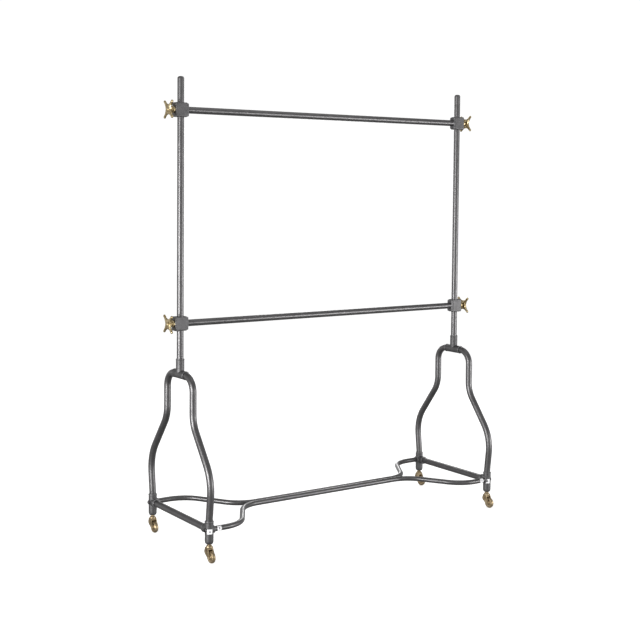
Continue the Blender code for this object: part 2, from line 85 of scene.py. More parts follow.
# The legs' bends (distance from the rack's middle plane, height, radius), the stretchers' bends (x, radius)
NECK_Y, NECK_Z, BELLY_Y, BELLY_Z, ENTRY_Z = 0.105, 0.509, 0.2501, 0.3170, 0.165
SHOULDER_BEND, NECK_BEND, BELLY_BEND, ENTRY_BEND = 0.058, 0.12, 0.17, 0.10
BEND_OUT_X, BEND_OUT_R, BEND_IN_X, BEND_IN_R = 0.5737, 0.13, 0.432, 0.13

ROUND, PIPE_ROUND, WHEEL_ROUND = 48, 40, 64  # sides of a turned piece, a pipe and a wheel
ARC_STEP = math.radians(4)


def box_middle(node):
    low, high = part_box(node)
    return (low + high) / 2


UPRIGHT_X = box_middle("right_upright").x
FOOT_Y = box_middle("right_rear_caster_stem").y
RAIL_Z = box_middle("left_bottom_rail").z
TEE_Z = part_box("left_front_leg")[1].z - LEG_R
AXLE = box_middle("left_front_caster_axle")
TRAIL = -FOOT_Y - AXLE.y

# Caster's horn: the fork arm's upper round end and rear bulge (Y and Z of the centre, radius), its lower
# end, the rivet under the crown, the rear web and the roof over the wheel
HORN_TOP, HORN_TOP_R, HORN_FOOT_R, RIVET_HEIGHT = (0.0005, 0.0500), 0.0112, 0.0080, 0.0030
HORN_BULGE, HORN_BULGE_R, ARM_INNER = (0.0040, 0.0415), 0.0108, 0.0097
WEB_HALF, WEB_LOW, WEB_FRONT, WEB_REAR = 0.0105, 0.0340, 0.0085, 0.0125
ROOF_LOW, ROOF_FRONT = 0.0486, -0.0105
AXLE_BORE_R, POST_BORE_R = 0.0033, 0.0053


# Geometry helpers


def mesh_of(bm, name="shape", sharp=40):
    bmesh.ops.recalc_face_normals(bm, faces=bm.faces)
    mesh = bpy.data.meshes.new(name)
    bm.to_mesh(mesh)
    bm.free()
    mesh.shade_smooth()
    mesh.set_sharp_from_angle(angle=math.radians(sharp))
    return mesh


def turned(profile, matrix=None, sides=ROUND):
    """Turn (radius, height) points about local Z: a solid where the ends are on the axis, else a ring."""
    matrix = matrix or Matrix.Identity(4)
    bm = bmesh.new()
    columns = []
    for radius, height in profile:
        if radius == 0:
            columns.append([bm.verts.new(matrix @ Vector((0, 0, height)))] * sides)
            continue
        angles = [(k + 0.5) * math.tau / sides for k in range(sides)]
        ring = [Vector((radius * math.cos(a), radius * math.sin(a), height)) for a in angles]
        columns.append([bm.verts.new(matrix @ p) for p in ring])
    pairs = list(zip(columns, columns[1:]))
    if profile[0][0] != 0:
        pairs.append((columns[-1], columns[0]))
    for low, high in pairs:
        for k in range(sides):
            n = (k + 1) % sides
            bm.faces.new(tuple(dict.fromkeys((low[k], low[n], high[n], high[k]))))
    return bm


def lofted(stations, end, matrix, sides=28):
    """Skin of ellipses along local Z, as (height, half-width along Y, along X), ending in a point."""
    bm = bmesh.new()
    angles = [k * math.tau / sides for k in range(sides)]
    rings = []
    for height, wide, thick in stations:
        ring = [Vector((thick * math.cos(a), wide * math.sin(a), height)) for a in angles]
        rings.append([bm.verts.new(matrix @ p) for p in ring])
    tip = bm.verts.new(matrix @ Vector((0, 0, end)))
    bm.faces.new(rings[0])
    for k in range(sides):
        n = (k + 1) % sides
        for low, high in zip(rings, rings[1:]):
            bm.faces.new((low[k], low[n], high[n], high[k]))
        bm.faces.new((rings[-1][k], rings[-1][n], tip))
    return bm


def eased(profile, radius=0.0008, steps=3):
    """Round each corner of a (radius, height) profile, except where it meets the axis."""
    out = []
    count = len(profile)
    closed = profile[0][0] != 0
    for i, point in enumerate(profile):
        if not closed and i in (0, count - 1):
            out.append(point)
            continue
        here = Vector(point)
        back = Vector(profile[i - 1]) - here
        ahead = Vector(profile[(i + 1) % count]) - here
        reach = min(radius, back.length * 0.45, ahead.length * 0.45)
        start, end = here + back.normalized() * reach, here + ahead.normalized() * reach
        for k in range(steps + 1):
            t = k / steps
            p = start * (1 - t) ** 2 + here * 2 * t * (1 - t) + end * t**2
            out.append((p.x, p.y))
    return out


def towards(direction, origin=(0, 0, 0)):
    """The matrix that turns local Z to a direction along X or Y."""
    turn = Vector((0, 0, 1)).rotation_difference(Vector(direction)).to_matrix().to_4x4()
    return Matrix.Translation(origin) @ turn


def rod(start, end, radius):
    start, end = Vector(start), Vector(end)
    length = (end - start).length
    profile = [(0, 0), (radius, 0), (radius, length), (0, length)]
    return turned(profile, towards((end - start).normalized(), start))


def rounded(corners):
    """The path through (point, bend radius) corners, with each bend as a fine arc."""
    path = [Vector(corners[0][0])]
    for (before, _), (corner, radius), (after, _) in zip(corners, corners[1:], corners[2:]):
        corner = Vector(corner)
        back, ahead = (Vector(before) - corner).normalized(), (Vector(after) - corner).normalized()
        turn = math.pi - back.angle(ahead)
        start, end = (corner + way * radius * math.tan(turn / 2) for way in (back, ahead))
        centre = corner + (back + ahead).normalized() * radius / math.cos(turn / 2)
        axis = (start - centre).cross(end - centre).normalized()
        steps = max(1, math.ceil(turn / ARC_STEP))
        spokes = [Matrix.Rotation(turn * k / steps, 3, axis) @ (start - centre) for k in range(steps + 1)]
        path += [centre + spoke for spoke in spokes]
    path.append(Vector(corners[-1][0]))
    return path


def pipe_mesh(path, normal, outer, bore):
    """An open-ended pipe along a flat path, where normal stands square to the path's plane."""
    bm = bmesh.new()
    normal = Vector(normal)
    angles = [(k + 0.5) * math.tau / PIPE_ROUND for k in range(PIPE_ROUND)]
    rings = []
    for i, point in enumerate(path):
        before = (point - path[i - 1]).normalized() if i else (path[1] - path[0]).normalized()
        after = (path[i + 1] - point).normalized() if i < len(path) - 1 else before
        side = (before + after).normalized().cross(normal)
        offsets = [normal * math.cos(a) + side * math.sin(a) for a in angles]
        rings.append([[bm.verts.new(point + radius * o) for o in offsets] for radius in (outer, bore)])
    for k in range(PIPE_ROUND):
        n = (k + 1) % PIPE_ROUND
        for low, high in zip(rings, rings[1:]):
            bm.faces.new((low[0][k], low[0][n], high[0][n], high[0][k]))
            bm.faces.new((low[1][n], low[1][k], high[1][k], high[1][n]))
        for ring in (rings[0], rings[-1]):
            bm.faces.new((ring[0][k], ring[0][n], ring[1][n], ring[1][k]))
    return mesh_of(bm)


def rounded_box(low, high, radius, segments=6):
    bm = bmesh.new()
    low, high = Vector(low), Vector(high)
    place = Matrix.Translation((low + high) / 2) @ Matrix.Diagonal((*(high - low), 1))
    bmesh.ops.create_cube(bm, size=1, matrix=place)
    edges = bm.verts[:] + bm.edges[:]
    bmesh.ops.bevel(
        bm, geom=edges, offset=radius, offset_type="OFFSET", segments=segments, profile=0.5, affect="EDGES"
    )
    return bm


def scratch_object(shape):
    """A bmesh or mesh as a linked object that is removed again once it has been used."""
    mesh = shape if isinstance(shape, bpy.types.Mesh) else mesh_of(shape)
    obj = bpy.data.objects.new("scratch", mesh)
    bpy.context.scene.collection.objects.link(obj)
    return obj


def evaluated(obj):
    """The object's mesh with its modifiers applied."""
    depsgraph = bpy.context.evaluated_depsgraph_get()
    return bpy.data.meshes.new_from_object(obj.evaluated_get(depsgraph))


def cast(solids, voxel, soften):
    """Overlapping closed solids as one casting, whose inner corners are softened into fillets."""
    together = bmesh.new()
    for solid in solids:
        bmesh.ops.recalc_face_normals(solid, faces=solid.faces)
        part = bpy.data.meshes.new("part")
        solid.to_mesh(part)
        solid.free()
        together.from_mesh(part)
        bpy.data.meshes.remove(part)
    obj = scratch_object(together)
    remesh = obj.modifiers.new("Remesh", "REMESH")
    remesh.mode = "VOXEL"
    remesh.voxel_size = voxel
    smooth = obj.modifiers.new("Smooth", "SMOOTH")
    smooth.factor = 0.5
    smooth.iterations = soften
    mesh = evaluated(obj)
    bpy.data.objects.remove(obj)
    return mesh


def cut_out(mesh, *cutters):
    """The mesh less each cutter, with crisp edges where they went in."""
    obj = scratch_object(mesh)
    tools = [scratch_object(c) for c in cutters]
    for tool in tools:
        cut = obj.modifiers.new("Cut", "BOOLEAN")
        cut.operation = "DIFFERENCE"
        cut.solver = "EXACT"
        cut.object = tool
    result = evaluated(obj)
    for used in (obj, *tools):
        bpy.data.objects.remove(used)
    result.shade_smooth()
    result.set_sharp_from_angle(angle=math.radians(40))
    return result


def piece(name, mesh, matrix, material, body, *nodes):
    """The mesh copied to its place, painted, riding its body and standing for its CAD nodes."""
    mesh = mesh.copy()
    mesh.transform(matrix)
    if matrix.determinant() < 0:
        mesh.flip_normals()
    mesh.name = name
    mesh.materials.clear()
    mesh.materials.append(material)
    obj = bpy.data.objects.new(name, mesh)
    bpy.context.scene.collection.objects.link(obj)
    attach(obj, body)
    if nodes:
        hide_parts(*nodes)
    return obj


# Materials


class Shader:
    """A Principled material with short calls for its nodes. All textures use object coordinates."""

    def __init__(self, name):
        self.material = bpy.data.materials.new(name)
        self.material.use_nodes = True
        self.tree = self.material.node_tree
        self.principled = self.tree.nodes["Principled BSDF"]
        self.coordinates = self.add("ShaderNodeTexCoord").outputs["Object"]

    def add(self, kind, **settings):
        node = self.tree.nodes.new(kind)
        for key, value in settings.items():
            setattr(node, key, value)
        return node

    def link(self, source, target):
        self.tree.links.new(source, target)

    def set(self, **values):
        for key, value in values.items():
            self.principled.inputs[key.replace("_", " ")].default_value = value

    def noise(self, scale, detail=4, roughness=0.6, distortion=0.0):
        node = self.add("ShaderNodeTexNoise")
        self.link(self.coordinates, node.inputs["Vector"])
        values = {"Scale": scale, "Detail": detail, "Roughness": roughness, "Distortion": distortion}
        for key, value in values.items():
            node.inputs[key].default_value = value
        return node.outputs["Fac"]

    def ramp(self, factor, *stops):
        """A colour ramp, with each stop as (place, colour). A single number is a grey."""
        node = self.add("ShaderNodeValToRGB")
        elements = node.color_ramp.elements
        while len(elements) < len(stops):
            elements.new(0.5)
        for element, (place, colour) in zip(elements, stops):
            element.position = place
            element.color = (*colour, 1) if isinstance(colour, tuple) else (colour, colour, colour, 1)
        self.link(factor, node.inputs["Fac"])
        return node.outputs["Color"]

    def mix(self, factor, a, b):
        node = self.add("ShaderNodeMix", data_type="RGBA")
        for socket, value in ((node.inputs[0], factor), (node.inputs[6], a), (node.inputs[7], b)):
            if isinstance(value, bpy.types.NodeSocket):
                self.link(value, socket)
            elif isinstance(value, tuple):
                socket.default_value = (*value, 1)
            else:
                socket.default_value = value
        return node.outputs[2]

    def bump(self, height, strength, distance, under=None):
        node = self.add("ShaderNodeBump")
        node.inputs["Strength"].default_value = strength
        node.inputs["Distance"].default_value = distance
        self.link(height, node.inputs["Height"])
        if under:
            self.link(under, node.inputs["Normal"])
        return node.outputs["Normal"]

    def edges(self, low, high):
        """1 on convex edges and 0 on flats and in hollows."""
        return self.ramp(self.add("ShaderNodeNewGeometry").outputs["Pointiness"], (low, 0.0), (high, 1.0))


def pipe_steel():
    """Raw dark steel pipe: mottled mill scale, fine grain, a few bright rubs."""
    s = Shader("dark_steel_pipe")
    s.set(Metallic=1.0)
    mottle = s.noise(26, detail=8, roughness=0.62, distortion=0.4)
    dark, mid, pale = (0.118, 0.115, 0.117), (0.148, 0.144, 0.147), (0.176, 0.171, 0.174)
    colour = s.ramp(mottle, (0.30, dark), (0.55, mid), (0.75, pale))
    rubs = s.ramp(s.noise(60, detail=10, roughness=0.75, distortion=1.6), (0.68, 0.0), (0.80, 0.35))
    colour = s.mix(rubs, colour, (0.26, 0.25, 0.25))
    grain = s.noise(900, detail=3)
    colour = s.mix(0.18, colour, s.ramp(grain, (0.35, 0.07), (0.65, 0.27)))
    s.link(colour, s.principled.inputs["Base Color"])
    s.link(s.ramp(mottle, (0.3, 0.32), (0.7, 0.44)), s.principled.inputs["Roughness"])
    normal = s.bump(grain, 0.05, 0.0002)
    s.link(s.bump(mottle, 0.05, 0.0006, normal), s.principled.inputs["Normal"])
    return s.material


def cast_steel():
    """Cast fittings: pebbled skin, with a painted highlight on the convex edges and rims."""
    s = Shader("cast_steel")
    s.set(Metallic=1.0)
    tone = s.noise(34, detail=6, roughness=0.6)
    colour = s.ramp(tone, (0.3, (0.082, 0.080, 0.082)), (0.7, (0.165, 0.161, 0.166)))
    pebbles = s.noise(520, detail=4, roughness=0.7)
    colour = s.mix(0.35, colour, s.ramp(pebbles, (0.35, 0.06), (0.65, 0.30)))
    # painted highlight: the convex edges and rims are lightened in the colour
    colour = s.mix(s.edges(0.505, 0.55), colour, (0.46, 0.455, 0.465))
    s.link(colour, s.principled.inputs["Base Color"])
    s.link(s.ramp(pebbles, (0.3, 0.44), (0.7, 0.60)), s.principled.inputs["Roughness"])
    s.link(s.bump(pebbles, 0.35, 0.0006), s.principled.inputs["Normal"])
    return s.material


def black_steel():
    """Black oxide screws with worn rims."""
    s = Shader("black_oxide")
    s.set(Metallic=1.0)
    tone = s.noise(80, detail=6)
    colour = s.ramp(tone, (0.3, (0.020, 0.019, 0.020)), (0.7, (0.050, 0.048, 0.050)))
    s.link(s.mix(s.edges(0.51, 0.58), colour, (0.20, 0.19, 0.19)), s.principled.inputs["Base Color"])
    s.link(s.ramp(tone, (0.3, 0.36), (0.7, 0.52)), s.principled.inputs["Roughness"])
    s.link(s.bump(s.noise(700), 0.12, 0.0003), s.principled.inputs["Normal"])
    return s.material


def brass(name, deep, mid, bright, rough_low, rough_high, patina):
    """Antique brass: brown patina in broad patches and pits, rubbed bright on the edges."""
    s = Shader(name)
    s.set(Metallic=1.0)
    patches = s.noise(55, detail=8, roughness=0.65, distortion=0.5)
    colour = s.ramp(patches, (patina, deep), (patina + 0.16, mid), (patina + 0.34, bright))
    pits = s.ramp(s.noise(420, detail=5, roughness=0.7), (0.34, 0.0), (0.46, 1.0))
    colour = s.mix(pits, deep, colour)
    colour = s.mix(s.edges(0.505, 0.57), colour, bright)
    s.link(colour, s.principled.inputs["Base Color"])
    s.link(s.ramp(patches, (0.3, rough_high), (0.7, rough_low)), s.principled.inputs["Roughness"])
    normal = s.bump(s.noise(260, detail=4), 0.12, 0.0005)
    s.link(s.bump(pits, 0.08, 0.0003, normal), s.principled.inputs["Normal"])
    return s.material


def paper():
    """Plain white sticker paper."""
    s = Shader("white_paper")
    s.set(Roughness=0.62)
    fibres = s.noise(380, detail=6, roughness=0.7)
    colour = s.ramp(fibres, (0.3, (0.80, 0.80, 0.82)), (0.7, (0.90, 0.90, 0.91)))
    s.link(colour, s.principled.inputs["Base Color"])
    s.link(s.bump(fibres, 0.10, 0.0002), s.principled.inputs["Normal"])
    return s.material


def ink():
    """Faded grey print, an unreadable block of it."""
    s = Shader("grey_print")
    s.set(Roughness=0.7)
    wear = s.noise(700, detail=5, roughness=0.7)
    colour = s.ramp(wear, (0.40, (0.10, 0.10, 0.11)), (0.62, (0.42, 0.42, 0.44)))
    s.link(colour, s.principled.inputs["Base Color"])
    return s.material


def pale_floor():
    """White studio floor that gives off a little light, so that it shows no horizon."""
    s = Shader("pale_floor")
    s.set(Roughness=0.9, Emission_Color=(1, 1, 1, 1), Emission_Strength=0.60)
    s.link(s.ramp(s.noise(0.8), (0.3, 0.90), (0.7, 0.92)), s.principled.inputs["Base Color"])
    return s.material


PIPE = pipe_steel()
CAST = cast_steel()
BLACK = black_steel()
BRASS = brass(
    "antique_brass", (0.120, 0.082, 0.036), (0.370, 0.280, 0.140), (0.700, 0.590, 0.370), 0.24, 0.42, 0.28
)
AGED = brass(
    "aged_brass", (0.110, 0.080, 0.045), (0.340, 0.255, 0.150), (0.640, 0.520, 0.340), 0.32, 0.50, 0.30
)
PAPER = paper()
INK = ink()


# End frames


def bead(radius, edge):
    """Profile points of the rolled rim at a fitting's mouth, from the plain wall to the rim's face."""
    steps = 6
    points = [(radius, edge - BEAD_WIDTH - 0.001)]
    for k in range(steps + 1):
        angle = math.pi * k / steps
        back = BEAD_WIDTH * 0.5 * (1 + math.cos(angle)) + 0.0004
        points.append((radius + BEAD_RISE * math.sin(angle), edge - back))
    points.append((radius - 0.0006, edge))
    return points


def sleeve(length, radius):
    """A round arm of a fitting, from the fitting's middle to a beaded mouth."""
    return [(0, 0), (radius, 0), *bead(radius, length), (0, length)]


def tee_mesh():
    """About the crossing of the barrel's and the sleeve's axes."""
    barrel_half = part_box("left_top_tee")[1].y
    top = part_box("left_top_tee")[1].z - TEE_Z
    sleeve_r = FITTING_R - 0.0004
    solids = [
        turned(sleeve(barrel_half, FITTING_R), towards((0, 1, 0))),
        turned(sleeve(barrel_half, FITTING_R), towards((0, -1, 0))),
        turned(sleeve(top, sleeve_r)),
    ]
    mesh = cast(solids, STEEL_VOXEL, 5)
    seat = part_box("left_upright")[0].z - FIT - TEE_Z
    return cut_out(
        mesh,
        rod((0, -CUT_REACH, 0), (0, CUT_REACH, 0), LEG_R + FIT),
        rod((0, 0, seat), (0, 0, CUT_REACH), PIPE_R + FIT),
    )


def foot_mesh():
    """About the foot's axis at floor level, with +X and +Y towards the rack's middle."""
    low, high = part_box("left_front_foot")
    axis = box_middle("left_front_caster_stem")
    branch, boss = high.y - axis.y, high.x - axis.x
    bottom, top = low.z, high.z
    body = [(0, bottom), (BELLY_R, bottom)]
    for k in range(1, 9):  # a quarter of an ellipse
        angle = math.pi / 2 * k / 8
        radius = BELLY_R + (FITTING_R - BELLY_R) * math.sin(angle)
        body.append((radius, bottom + BELLY_RISE * (1 - math.cos(angle))))
    body += bead(FITTING_R, top) + [(0, top)]
    solids = [
        turned(body),
        turned(sleeve(branch, FITTING_R), towards((0, 1, 0), (0, 0, RAIL_Z))),
        turned(sleeve(boss, FITTING_BOSS_R), towards((1, 0, 0), (0, 0, RAIL_Z))),
    ]
    mesh = cast(solids, STEEL_VOXEL, 5)
    leg_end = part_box("left_front_leg")[0].z
    rail_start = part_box("left_bottom_rail")[0].y - axis.y
    stretcher_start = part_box("front_stretcher")[0].x - axis.x
    return cut_out(
        mesh,
        rod((0, 0, leg_end - FIT), (0, 0, top + CUT_REACH / 2), LEG_R + FIT),
        rod((0, rail_start - FIT, RAIL_Z), (0, CUT_REACH, RAIL_Z), PIPE_R + FIT),
        rod((stretcher_start - FIT, 0, RAIL_Z), (CUT_REACH, 0, RAIL_Z), STRETCHER_R + FIT),
        rod((0, 0, STUD_BORE_LOW), (0, 0, STUD_BORE_HIGH), STUD_BORE_R),
        rod((-CUT_REACH, 0, RAIL_Z), (0.012, 0, RAIL_Z), BOLT_BORE_R),
    )


def bolt_mesh():
    """Button-head screw about local Z, with its head up and a hex socket. Its seat is at local zero."""
    chamfer, wall = 0.0006, 0.0012
    profile = [(0, -BOLT_LENGTH), (BOLT_SHANK_R - chamfer, -BOLT_LENGTH)]
    profile += [(BOLT_SHANK_R, -BOLT_LENGTH + chamfer), (BOLT_SHANK_R, 0)]
    profile += [(BOLT_HEAD_R, 0), (BOLT_HEAD_R, wall)]
    for k in range(1, 9):
        angle = math.pi / 2 * k / 9
        profile.append((BOLT_HEAD_R * math.cos(angle), wall + (BOLT_HEAD - wall) * math.sin(angle)))
    profile.append((0, BOLT_HEAD))
    deep, high = BOLT_HEAD - SOCKET_DEPTH, BOLT_HEAD + 0.01
    socket = turned([(0, deep), (SOCKET_R, deep), (SOCKET_R, high), (0, high)], sides=6)
    return cut_out(mesh_of(turned(profile)), socket)


def cap_mesh():
    """Domed plug about local Z, with the pipe's rim at local zero."""
    rise = cad_high.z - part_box("left_upright")[1].z
    plug, plug_depth = PIPE_BORE - 0.0006, 0.0117
    edge, wall = PIPE_R - 0.0002, 0.0022
    profile = [(0, -plug_depth), (plug, -plug_depth), (plug, FIT), (edge, FIT), (edge, wall)]
    for k in range(1, 13):
        angle = math.pi / 2 * k / 13
        profile.append((edge * math.cos(angle) ** 0.8, wall + (rise - wall) * math.sin(angle)))
    profile.append((0, rise))
    return mesh_of(turned(profile))


def build_legs(x, side):
    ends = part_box("left_rear_leg")
    outline = [
        (ends[0].y, TEE_Z, 0),
        (NECK_Y, TEE_Z, SHOULDER_BEND),
        (NECK_Y, NECK_Z, NECK_BEND),
        (BELLY_Y, BELLY_Z, BELLY_BEND),
        (FOOT_Y, ENTRY_Z, ENTRY_BEND),
        (FOOT_Y, ends[0].z, 0),
    ]
    for end, y_sign in ENDS:
        path = rounded([((x, y_sign * y, z), bend) for y, z, bend in outline])
        node = f"{side}_{end}_leg"
        piece(node + "_pipe", pipe_mesh(path, (1, 0, 0), LEG_R, LEG_BORE), Matrix(), PIPE, "frame", node)


def build_straight_pipe(node, body, axis):
    low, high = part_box(node)
    start, end = (low + high) / 2, (low + high) / 2
    start[axis], end[axis] = low[axis], high[axis]
    normal = (0, 0, 1) if axis < 2 else (1, 0, 0)
    piece(node + "_pipe", pipe_mesh([start, end], normal, PIPE_R, PIPE_BORE), Matrix(), PIPE, body, node)


def build_stretcher(end, y_sign):
    node = end + "_stretcher"
    start_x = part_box(node)[1].x
    inner_y = y_sign * (STRETCHER_R + FIT / 2)
    outer_y = y_sign * FOOT_Y
    outline = [(start_x, outer_y, 0), (BEND_OUT_X, outer_y, BEND_OUT_R), (BEND_IN_X, inner_y, BEND_IN_R)]
    left = [((-x, y, RAIL_Z), bend) for x, y, bend in outline]
    right = [((x, y, RAIL_Z), bend) for x, y, bend in reversed(outline)]
    path = rounded(left + right)
    mesh = pipe_mesh(path, (0, 0, 1), STRETCHER_R, STRETCHER_BORE)
    piece(node + "_pipe", mesh, Matrix(), PIPE, "frame", node)


def build_end_frames():
    tee, foot, bolt, cap = tee_mesh(), foot_mesh(), bolt_mesh(), cap_mesh()
    for side, x_sign in SIDES:
        x = x_sign * UPRIGHT_X
        crossing = Matrix.Translation((x, 0, TEE_Z))
        piece(side + "_tee_casting", tee, crossing, CAST, "frame", side + "_top_tee")
        rim = Matrix.Translation((x, 0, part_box(side + "_upright")[1].z))
        piece(side + "_cap_dome", cap, rim, PIPE, "frame", side + "_upright_cap")
        build_straight_pipe(side + "_upright", "frame", 2)
        build_straight_pipe(side + "_bottom_rail", "frame", 1)
        build_legs(x, side)
        for end, y_sign in ENDS:
            corner = f"{side}_{end}"
            y = y_sign * FOOT_Y
            place = Matrix.Translation((x, y, 0)) @ Matrix.Diagonal((-x_sign, -y_sign, 1, 1))
            piece(corner + "_foot_casting", foot, place, CAST, "frame", corner + "_foot")
            seat = towards((x_sign, 0, 0), (x + x_sign * (FITTING_R + FIT), y, RAIL_Z))
            piece(corner + "_bolt_screw", bolt, seat, BLACK, "frame", corner + "_stretcher_bolt")
    for end, y_sign in ENDS:
        build_stretcher(end, y_sign)


# Hanging bars and clamps, about the crossing of the bar's and the upright's axes, with +X outboard


def block_mesh():
    """A block with a short collar inboard for the bar, bored for the upright, the bar and the screw."""
    low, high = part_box("upper_right_clamp_block")
    inner, outer = low.x - UPRIGHT_X, high.x - UPRIGHT_X
    depth, height = (high.y - low.y) / 2, (high.z - low.z) / 2
    collar_depth, collar_height = depth - 0.002, height - 0.003
    solids = [
        rounded_box((inner + COLLAR_LENGTH, -depth, -height), (outer, depth, height), BLOCK_ROUND),
        rounded_box((inner, -collar_depth, -collar_height), (0, collar_depth, collar_height), COLLAR_ROUND),
    ]
    mesh = cast(solids, STEEL_VOXEL, 3)
    bar_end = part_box("upper_crossbar")[1].x - UPRIGHT_X
    slide_play = 0.0005
    return cut_out(
        mesh,
        rod((0, 0, -CUT_REACH), (0, 0, CUT_REACH), PIPE_R + slide_play),
        rod((-CUT_REACH, 0, 0), (bar_end + FIT, 0, 0), PIPE_R + FIT),
        rod((0.005, 0, 0), (CUT_REACH, 0, 0), SCREW_BORE_R),
    )


def bonnet_mesh():
    """Brass neck: plug, domed flange against the block, a groove and a collar at its mouth."""
    start, end = (corner.x - UPRIGHT_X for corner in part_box("upper_right_bonnet"))
    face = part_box("upper_right_clamp_block")[1].x - UPRIGHT_X + FIT
    bore, plug, collar = 0.0063, 0.00885, 0.0104
    flange = [(0.0138, 0), (0.0140, 0.0045), (0.0132, 0.0072), (0.0112, 0.0088), (0.0100, 0.0094)]
    profile = [(bore, start), (plug, start), (plug, face)]
    profile += [(radius, face + out) for radius, out in flange]
    profile += [(collar, face + 0.0104), (collar, end - 0.0012), (0.0092, end), (bore, end)]
    return mesh_of(turned(eased(profile, 0.0005), towards((1, 0, 0))))


def pad_mesh():
    """Plain disc, set back a little from the upright."""
    start, end = (corner.x - UPRIGHT_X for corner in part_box("upper_right_thrust_pad"))
    radius = 0.0087
    profile = eased([(0, start), (radius, start), (radius, end), (0, end)], 0.0004)
    return mesh_of(turned(profile, towards((1, 0, 0))))


def spindle_mesh():
    """Ringed rod with a seat for the handle and a low domed head that holds it."""
    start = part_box("upper_right_spindle")[0].x - UPRIGHT_X
    hub_low, hub_high = (corner.x - UPRIGHT_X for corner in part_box("upper_right_cross_handle"))
    crest, root, pitch = 0.0060, 0.0052, 0.00175
    seat_r, head_r, head_wall, head_height = 0.0045, 0.0083, 0.0012, 0.0042
    profile = [(0, start), (root, start)]
    turns = int((hub_low - FIT - start) / pitch)
    for k in range(turns):
        base = start + k * pitch
        profile += [(root, base + pitch * 0.1), (crest, base + pitch * 0.4), (crest, base + pitch * 0.6)]
        profile.append((root, base + pitch * 0.9))
    head, end = hub_high + FIT, hub_high + head_height
    profile += [(crest, hub_low - FIT), (seat_r, hub_low - FIT), (seat_r, head), (head_r, head)]
    for k in range(1, 9):
        angle = math.pi / 2 * k / 9
        rise = head_wall + (end - head - head_wall) * math.sin(angle)
        profile.append((head_r * math.cos(angle), head + rise))
    profile.append((0, end))
    return mesh_of(turned(profile, towards((1, 0, 0))))


def handle_mesh():
    """Four-armed cross handle cast in one: turned hub, arms webbed at the root, rounded tips."""
    low, high = (corner.x - UPRIGHT_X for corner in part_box("upper_right_cross_handle"))
    middle, reach = (low + high) / 2, 0.0480
    hub = [(0, low), (0.0092, low), (0.0116, low + 0.0020), (0.0122, middle), (0.0116, high - 0.0020)]
    hub += [(0.0092, high), (0, high)]
    tip_wide, tip_thick, hub_bore = 0.0057, 0.0051, 0.0048
    stations = [(0, 0.0155, 0.0056), (0.013, 0.0155, 0.0056), (0.017, 0.0122, 0.0056)]
    stations += [(0.021, 0.0094, 0.0054), (0.026, 0.0072, 0.0052), (0.032, 0.0059, 0.0050)]
    stations += [(0.038, 0.0056, 0.0050)]
    for k in range(8):
        angle = math.pi / 2 * k / 8
        height = reach - tip_wide + tip_wide * math.sin(angle)
        stations.append((height, tip_wide * math.cos(angle), tip_thick * math.cos(angle)))
    solids = [turned(hub, towards((1, 0, 0)))]
    for k in range(4):
        place = Matrix.Translation((middle, 0, 0)) @ Matrix.Rotation(math.radians(45 + 90 * k), 4, "X")
        solids.append(lofted(stations, reach, place))
    mesh = cast(solids, BRASS_VOXEL, 4)
    return cut_out(mesh, rod((low - 0.01, 0, 0), (high + 0.01, 0, 0), hub_bore))


def build_bars():
    bonnet, pad, spindle, handle = bonnet_mesh(), pad_mesh(), spindle_mesh(), handle_mesh()
    block = block_mesh()
    for level in LEVELS:
        build_straight_pipe(level + "_crossbar", level + "_bar", 0)
        bar, z = level + "_bar", box_middle(level + "_crossbar").z
        for side, x_sign in SIDES:
            name = f"{level}_{side}"
            place = Matrix.Translation((x_sign * UPRIGHT_X, 0, z)) @ Matrix.Diagonal((x_sign, 1, 1, 1))
            piece(name + "_clamp_casting", block, place, CAST, bar, name + "_clamp_block")
            piece(name + "_bonnet_neck", bonnet, place, BRASS, bar, name + "_bonnet")
            piece(name + "_pad_disc", pad, place, BRASS, name + "_pad", name + "_thrust_pad")
            piece(name + "_spindle_screw", spindle, place, BRASS, name + "_handle", name + "_spindle")
            piece(name + "_cross_casting", handle, place, BRASS, name + "_handle", name + "_cross_handle")


# Casters, about the swivel axis at floor level, with the wheel trailing to -Y


def stem_mesh():
    """Stud with a neck under the foot, a post through the crown and a rivet below it."""
    low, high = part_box("left_front_caster_stem")
    crown_low, crown_high = low.z + RIVET_HEIGHT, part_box("left_front_caster_fork")[1].z
    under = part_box("left_front_foot")[0].z - FIT
    post, stud = 0.0049, 0.0054
    profile = [(0, low.z), (0.0052, low.z), (0.0070, low.z + 0.0012), (0.0072, crown_low - FIT)]
    profile += [(post, crown_low - FIT), (post, crown_high + FIT), (0.0078, crown_high + FIT)]
    profile += [(0.0082, crown_high + 0.0014), (0.0074, crown_high + 0.0030), (0.0080, under)]
    profile.append((stud, under))
    profile += [(stud, high.z - 0.001), (stud - 0.001, high.z), (0, high.z)]
    return mesh_of(turned(eased(profile, 0.0005)))


def arm_plate(inner, outer, top, top_r, foot, foot_r):
    """A tapered plate with round ends between two (y, z) centres."""
    top, foot = Vector(top), Vector(foot)
    slope = foot - top
    lean = math.atan2(slope.y, slope.x)
    spread = math.acos((top_r - foot_r) / slope.length)
    outline, steps = [], 16
    for centre, radius, start, end in (
        (foot, foot_r, lean - spread, lean + spread),
        (top, top_r, lean + spread, lean + math.tau - spread),
    ):
        for k in range(steps + 1):
            angle = start + (end - start) * k / steps
            outline.append(centre + radius * Vector((math.cos(angle), math.sin(angle))))
    bm = bmesh.new()
    near = [bm.verts.new((inner, p.x, p.y)) for p in outline]
    far = [bm.verts.new((outer, p.x, p.y)) for p in outline]
    bm.faces.new(near)
    bm.faces.new(far)
    for k in range(len(outline)):
        n = (k + 1) % len(outline)
        bm.faces.new((near[k], near[n], far[n], far[k]))
    return bm


